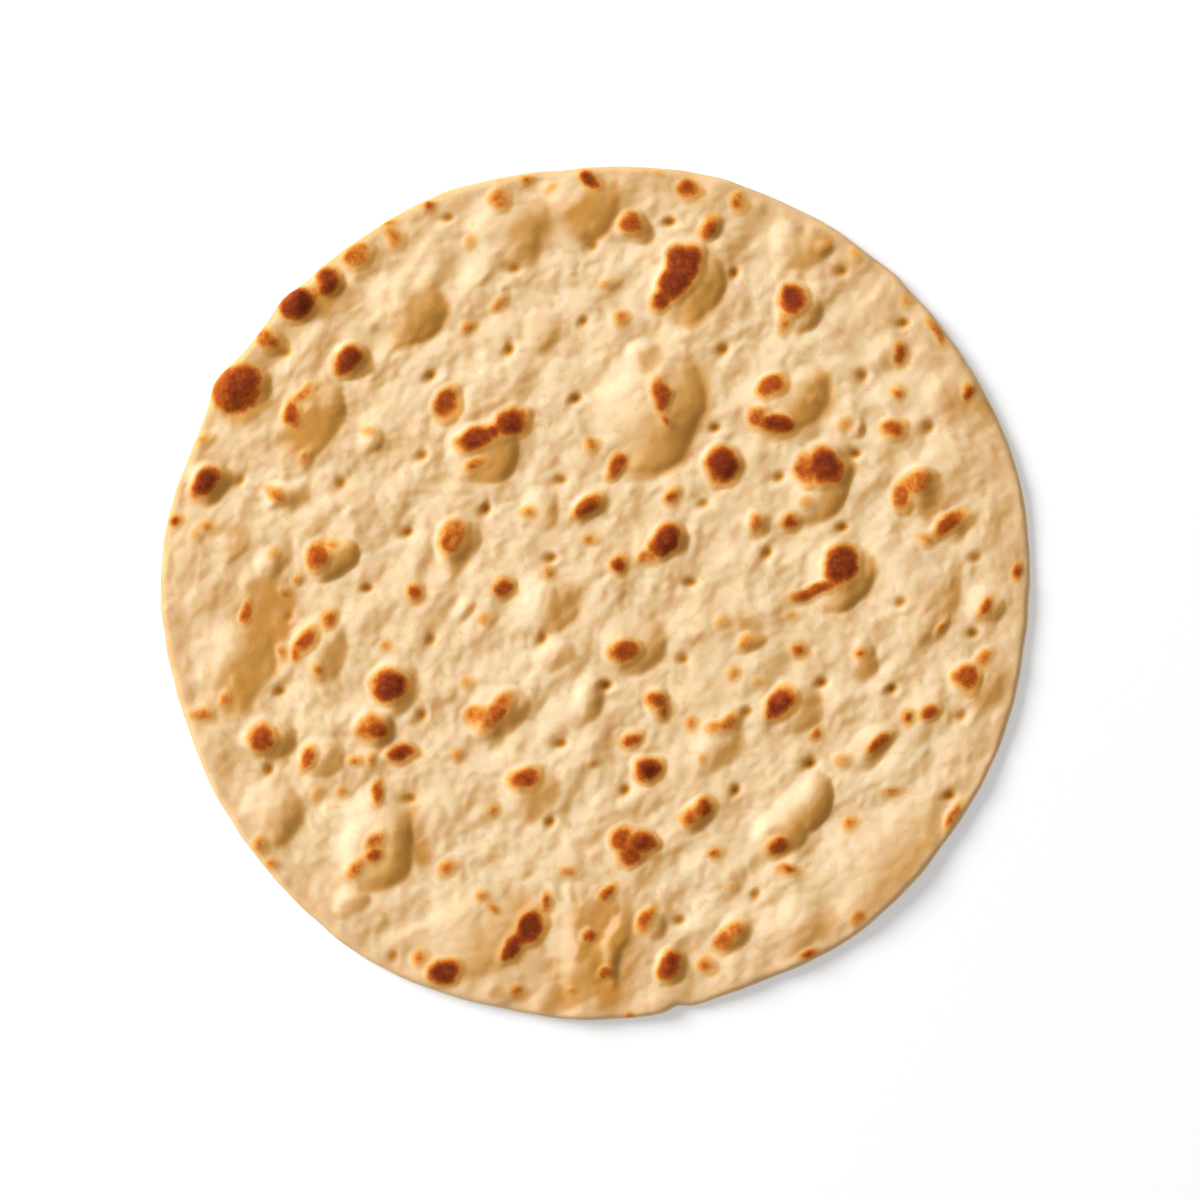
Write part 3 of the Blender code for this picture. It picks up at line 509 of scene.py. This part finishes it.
def press_flat(ball):
    """Where a ball's points lie in the crust, where painted shade and highlight show, and what the
    oven did to them, along with painted shade on the lee of blisters and spots.
    """
    angle = np.arctan2(ball[:, 1], ball[:, 0])
    share_out = np.sqrt(np.clip(1.0 - np.abs(ball[:, 2]), 0.0, 1.0))
    edge = rim_radius(angle)
    x = edge * share_out * np.cos(angle)
    y = edge * share_out * np.sin(angle)
    depth_in = edge * (1.0 - share_out)
    on_top = ball[:, 2] > 0.0

    blisters, golden = blister_height(x, y)
    stretched = smooth_step(blisters / BLISTER_SKIN_FROM)
    ridge_height, ridge_width, ridge_length = RIDGES
    ridges = ridge_height * dough_noise(x, y, ridge_width, ridge_length, RIDGE_SEED)
    wrinkles, pebbles = wrinkled_skin(x, y)
    pin_depth, pin_dark = docking(x, y)
    heat, bump, toast_lee_shade = toast(x, y)
    golden = np.maximum(golden, toast_lee_shade)
    dough = CRUST_THICKNESS + SWELL_OF_THE_DOUGH * soft_waves(x, y, SWELL_WAVE, SWELL_SEED)
    dough += blisters + bump - pin_depth
    dough += ridges * (1.0 - (1.0 - RIDGES_LEFT_ON_BLISTERS) * stretched)
    dough += wrinkles * (1.0 - (1.0 - WRINKLES_LEFT_ON_BLISTERS) * stretched)
    lift = curl(x, y)
    top = lift + RIM_MIDLINE + (dough - RIM_MIDLINE) * rounded(depth_in, RIM_ROUND)
    foot = lift + RIM_MIDLINE * (1.0 - rounded(depth_in, RIM_FOOT_ROUND))
    place = np.column_stack((x, y, np.where(on_top, top, foot)))
    off_rim = LEE_ON_RIM + (1.0 - LEE_ON_RIM) * smooth_step(depth_in / LEE_RIM_WIDTH)
    return place, off_rim * on_top, {
        "toast": heat * on_top,
        "pin_hole": pin_dark * on_top,
        "golden": golden * off_rim * on_top,
        "pebble": pebbles,
        "gold_bake": np.where(on_top, golden_bake(x, y, depth_in), scorched_underside(x, y)),
        "blister": smooth_step(blisters / BLISTER_BAKED_FROM) * on_top,
    }


# The crust is a ball of dough pressed flat: its upper half is the top and its lower the underside.
bpy.ops.object.select_all(action="DESELECT")
bpy.ops.mesh.primitive_ico_sphere_add(subdivisions=BALL_DIVISIONS, radius=1.0)
crust = bpy.context.object
crust.name = "baked_crust"
ball = np.empty(3 * len(crust.data.vertices))
crust.data.vertices.foreach_get("co", ball)
ball = ball.reshape(-1, 3)
place, lee_shows, baked = press_flat(ball)
crust.data.vertices.foreach_set("co", (place * MM).ravel())
crust.data.update()
facing = np.empty(3 * len(crust.data.vertices))
crust.data.vertices.foreach_get("normal", facing)
facing = facing.reshape(-1, 3)
# Painted light by which way the surface faces: sides turned down the lean, away from the lamp, get
# painted shade, and sides turned to the lamp a painted highlight.
baked["lee"] = lee_shows * along_lean(facing[:, 0], facing[:, 1])
for name, values in baked.items():
    crust.data.attributes.new(name, "FLOAT", "POINT").data.foreach_set("value", values)

underside = crust.vertex_groups.new(name="underside")
underside.add(np.flatnonzero(ball[:, 2] < BALL_EQUATOR).tolist(), 1.0, "REPLACE")
thinned = crust.modifiers.new("thin_underside", "DECIMATE")
thinned.vertex_group = underside.name
thinned.ratio = (1.0 + UNDERSIDE_KEPT) / 2.0  # the top half keeps all its faces
bpy.ops.object.modifier_apply(modifier=thinned.name)
bpy.ops.object.shade_smooth()


def linear(hex_colour):
    """A colour written as sRGB hex, in the linear light that the shader takes."""
    shares = [int(hex_colour[i:i + 2], 16) / 255.0 for i in (1, 3, 5)]
    return [s / 12.92 if s <= 0.04045 else ((s + 0.055) / 1.055) ** 2.4 for s in shares] + [1.0]


def add_node(tree, kind, settings=None, inputs=None):
    """A node with its settings, and its inputs as values or as the sockets that feed them."""
    node = tree.nodes.new(kind)
    for name, value in (settings or {}).items():
        setattr(node, name, value)
    for name, value in (inputs or {}).items():
        if isinstance(value, bpy.types.NodeSocket):
            tree.links.new(value, node.inputs[name])
        else:
            node.inputs[name].default_value = value
    return node


def baked_bread():
    """Wheat dough baked pale: matt, a little translucent, so light that enters it comes out
    warm. Sugars in the skin brown from gold through orange to a dark red-brown char."""
    material = bpy.data.materials.new("baked_bread")
    material.use_nodes = True
    tree = material.node_tree
    shader = tree.nodes["Principled BSDF"]
    place = add_node(tree, "ShaderNodeTexCoord").outputs["Object"]

    shares = {}
    for name in ("toast", "pin_hole", "golden", "pebble", "blister", "lee", "gold_bake"):
        shares[name] = add_node(tree, "ShaderNodeAttribute", {
            "attribute_name": name}).outputs["Fac"]
    # Unevenness of the bake: (name, size in millimetres, detail, roughness).
    for name, size, detail, roughness in (
            ("cloud", 26.0, 3.0, 0.5), ("freckle", 3.2, 2.0, 0.5),
            ("mottle", 2.6, 5.0, 0.75), ("grain", 1.2, 5.0, 0.6)):
        shares[name] = add_node(tree, "ShaderNodeTexNoise", {}, {
            "Vector": place, "Scale": 1.0 / (size * MM), "Detail": detail,
            "Roughness": roughness}).outputs["Fac"]

    # Toast breaks up into darker and lighter flecks, and the more, the darker it is.
    fleck_contrast, fleck_middle, fleck_most, fleck_full_at = 1.35, -0.7, 0.75, 0.6
    flecks = add_node(tree, "ShaderNodeMath", {"operation": "MULTIPLY_ADD"}, {
        0: shares["mottle"], 1: fleck_contrast, 2: fleck_middle}).outputs[0]
    fleck_depth = add_node(tree, "ShaderNodeMapRange", {"interpolation_type": "SMOOTHSTEP"}, {
        "Value": shares["toast"], "From Max": fleck_full_at,
        "To Max": fleck_most}).outputs["Result"]
    shares["browned"] = add_node(tree, "ShaderNodeMath", {"operation": "MULTIPLY_ADD"}, {
        0: flecks, 1: fleck_depth, 2: shares["toast"]}).outputs[0]
    browning = add_node(tree, "ShaderNodeValToRGB", {}, {0: shares["browned"]})
    ramp = browning.color_ramp
    # From golden skin through orange and brown to a dark red-brown char.
    steps = ((0.05, "#DAB57E"), (0.20, "#D3A05C"), (0.36, "#C57F31"), (0.52, "#AE5B1A"),
             (0.74, "#93410F"), (1.0, "#702810"))
    while len(ramp.elements) < len(steps):
        ramp.elements.new(0.5)
    for element, (position, hex_colour) in zip(ramp.elements, steps):
        element.position = position
        element.color = linear(hex_colour)

    # Tints laid over the pale crumb, one after another: (share, where it starts, where it is
    # full, how much of it shows, how it is laid, tint). Toast only ever darkens what is there.
    # The pebble, lee and golden tints, and part of the pin_hole tints, are painted shade and
    # highlight.
    colour = linear("#E0CAA6")
    for name, start, full, most, laid, tint in (
            ("cloud", 0.2, 0.8, 1.0, "MIX", linear("#DCC199")),
            ("blister", 0.0, 1.0, 0.12, "MIX", linear("#DDB678")),
            ("gold_bake", 0.0, 1.3, 1.0, "MIX", linear("#BE8941")),
            # Painted shade in the creases between pebbles.
            ("pebble", 0.0, -0.2, 0.3, "MIX", linear("#CC9853")),
            # Painted highlight on sides facing the lamp, then painted shade on sides turned from
            # it.
            ("lee", 0.0, -0.4, 0.5, "MIX", linear("#DFCEB0")),
            ("lee", -0.1, 0.36, 0.72, "MIX", linear("#D29C4A")),
            ("lee", 0.25, 0.75, 0.85, "MIX", linear("#B4742A")),
            ("freckle", 0.62, 0.78, 0.35, "MIX", linear("#CF9D54")),
            # Painted shade on the lee of blisters and toasted spots.
            ("golden", 0.0, 1.0, 0.9, "MIX", linear("#CA9446")),
            ("browned", 0.0, 0.14, 1.0, "DARKEN", browning.outputs["Color"]),
            # The holes and their hollows: browning, with painted shade in the recess.
            ("pin_hole", 0.1, 0.7, 1.0, "MIX", linear("#BF842F")),
            ("pin_hole", 0.55, 1.0, 0.9, "MIX", linear("#8C5114"))):
        share = add_node(tree, "ShaderNodeMapRange", {"interpolation_type": "SMOOTHSTEP"}, {
            "Value": shares[name], "From Min": start, "From Max": full,
            "To Max": most}).outputs["Result"]
        colour = add_node(tree, "ShaderNodeMix", {
            "data_type": "RGBA", "blend_type": laid}, {0: share, 6: colour, 7: tint}).outputs[2]
    # The crumb's grain, too fine for the mesh.
    grain_depth, grain_strength = 0.22 * MM, 0.9
    bump = add_node(tree, "ShaderNodeBump", {}, {
        "Height": shares["grain"], "Distance": grain_depth,
        "Strength": grain_strength}).outputs["Normal"]

    tree.links.new(colour, shader.inputs["Base Color"])
    tree.links.new(bump, shader.inputs["Normal"])
    shader.inputs["Roughness"].default_value = 0.8
    shader.inputs["Specular IOR Level"].default_value = 0.08
    shader.inputs["Subsurface Weight"].default_value = 1.0
    shader.inputs["Subsurface Radius"].default_value = (1.0, 0.42, 0.12)
    shader.inputs["Subsurface Scale"].default_value = 2.0 * MM
    return material


crust.data.materials.append(baked_bread())
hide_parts("crust")
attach(crust, "root")


# ==== Studio: floor, light and camera ============================================================
# A white table under one soft lamp from the upper left, as high as makes the crust's shadow
# about as wide as the photograph's, and a camera straight above. The table, the lamp's place and
# width and the camera's height are in metres.

TABLE_ACROSS = 8.0
TABLE_GREY = 0.55  # matt card, which the lamp and the glow together bring up to pure white
TABLE_GLOW = 0.33  # a shooting table of opal sheet, lit a little from below
bpy.ops.object.select_all(action="DESELECT")
bpy.ops.mesh.primitive_plane_add(size=TABLE_ACROSS, location=(0.0, 0.0, 0.0))
table = bpy.context.object
table.name = "table"
white = bpy.data.materials.new("white_card")
white.use_nodes = True
white_shader = white.node_tree.nodes["Principled BSDF"]
white_shader.inputs["Base Color"].default_value = (TABLE_GREY, TABLE_GREY, TABLE_GREY, 1.0)
white_shader.inputs["Roughness"].default_value = 0.9
white_shader.inputs["Emission Color"].default_value = (1.0, 1.0, 1.0, 1.0)
white_shader.inputs["Emission Strength"].default_value = TABLE_GLOW
table.data.materials.append(white)

LAMP_HEADING = math.radians(149.0)  # from +X: the upper left of the photograph
LAMP_HEIGHT = math.radians(36.0)  # above the table
LAMP_AWAY = 5.0
LAMP_ACROSS = 2.8
LAMP_POWER = 392.0
SKY_STRENGTH = 0.4  # on the crust. The camera sees the sky behind the table as pure white

lamp_place = LAMP_AWAY * Vector((math.cos(LAMP_HEADING) * math.cos(LAMP_HEIGHT),
                                 math.sin(LAMP_HEADING) * math.cos(LAMP_HEIGHT),
                                 math.sin(LAMP_HEIGHT)))
bpy.ops.object.light_add(type="AREA", location=lamp_place)
lamp = bpy.context.object
lamp.name = "soft_lamp"
lamp.data.shape = "DISK"
lamp.data.size = LAMP_ACROSS
lamp.data.energy = LAMP_POWER
lamp.rotation_euler = lamp_place.to_track_quat("Z", "Y").to_euler()

sky = bpy.data.worlds.new("studio")
bpy.context.scene.world = sky
sky.use_nodes = True
sky_tree = sky.node_tree
sky_tree.nodes.clear()
seen = add_node(sky_tree, "ShaderNodeLightPath").outputs["Is Camera Ray"]
brightness = add_node(sky_tree, "ShaderNodeMapRange", {}, {
    "Value": seen, "To Min": SKY_STRENGTH, "To Max": 1.0}).outputs["Result"]
background = add_node(sky_tree, "ShaderNodeBackground", {}, {
    "Color": (1.0, 1.0, 1.0, 1.0), "Strength": brightness}).outputs["Background"]
add_node(sky_tree, "ShaderNodeOutputWorld", {}, {"Surface": background})

MM_IN_A_PIXEL = 300.0 / 868.0  # the crust fills 868 of the photograph's 1200 pixels
PICTURE_PIXELS = 1200
CRUST_MIDDLE_PIXEL = (594.0, 592.5)
CAMERA_ABOVE = 1.6
SENSOR = 36.0  # across, in millimetres

bpy.ops.object.camera_add()
camera = bpy.context.object
camera.name = "camera"
half_picture = MM_IN_A_PIXEL * PICTURE_PIXELS / 2.0 * MM
camera.data.sensor_width = SENSOR
camera.data.lens = SENSOR / 2.0 * (CAMERA_ABOVE - RIM_MIDLINE * MM) / half_picture
camera.location = (
    (PICTURE_PIXELS / 2.0 - CRUST_MIDDLE_PIXEL[0]) * MM_IN_A_PIXEL * MM,
    (CRUST_MIDDLE_PIXEL[1] - PICTURE_PIXELS / 2.0) * MM_IN_A_PIXEL * MM,
    CAMERA_ABOVE,
)
camera.rotation_euler = (0.0, 0.0, 0.0)
bpy.context.scene.camera = camera
bpy.context.scene.view_settings.view_transform = "Standard"
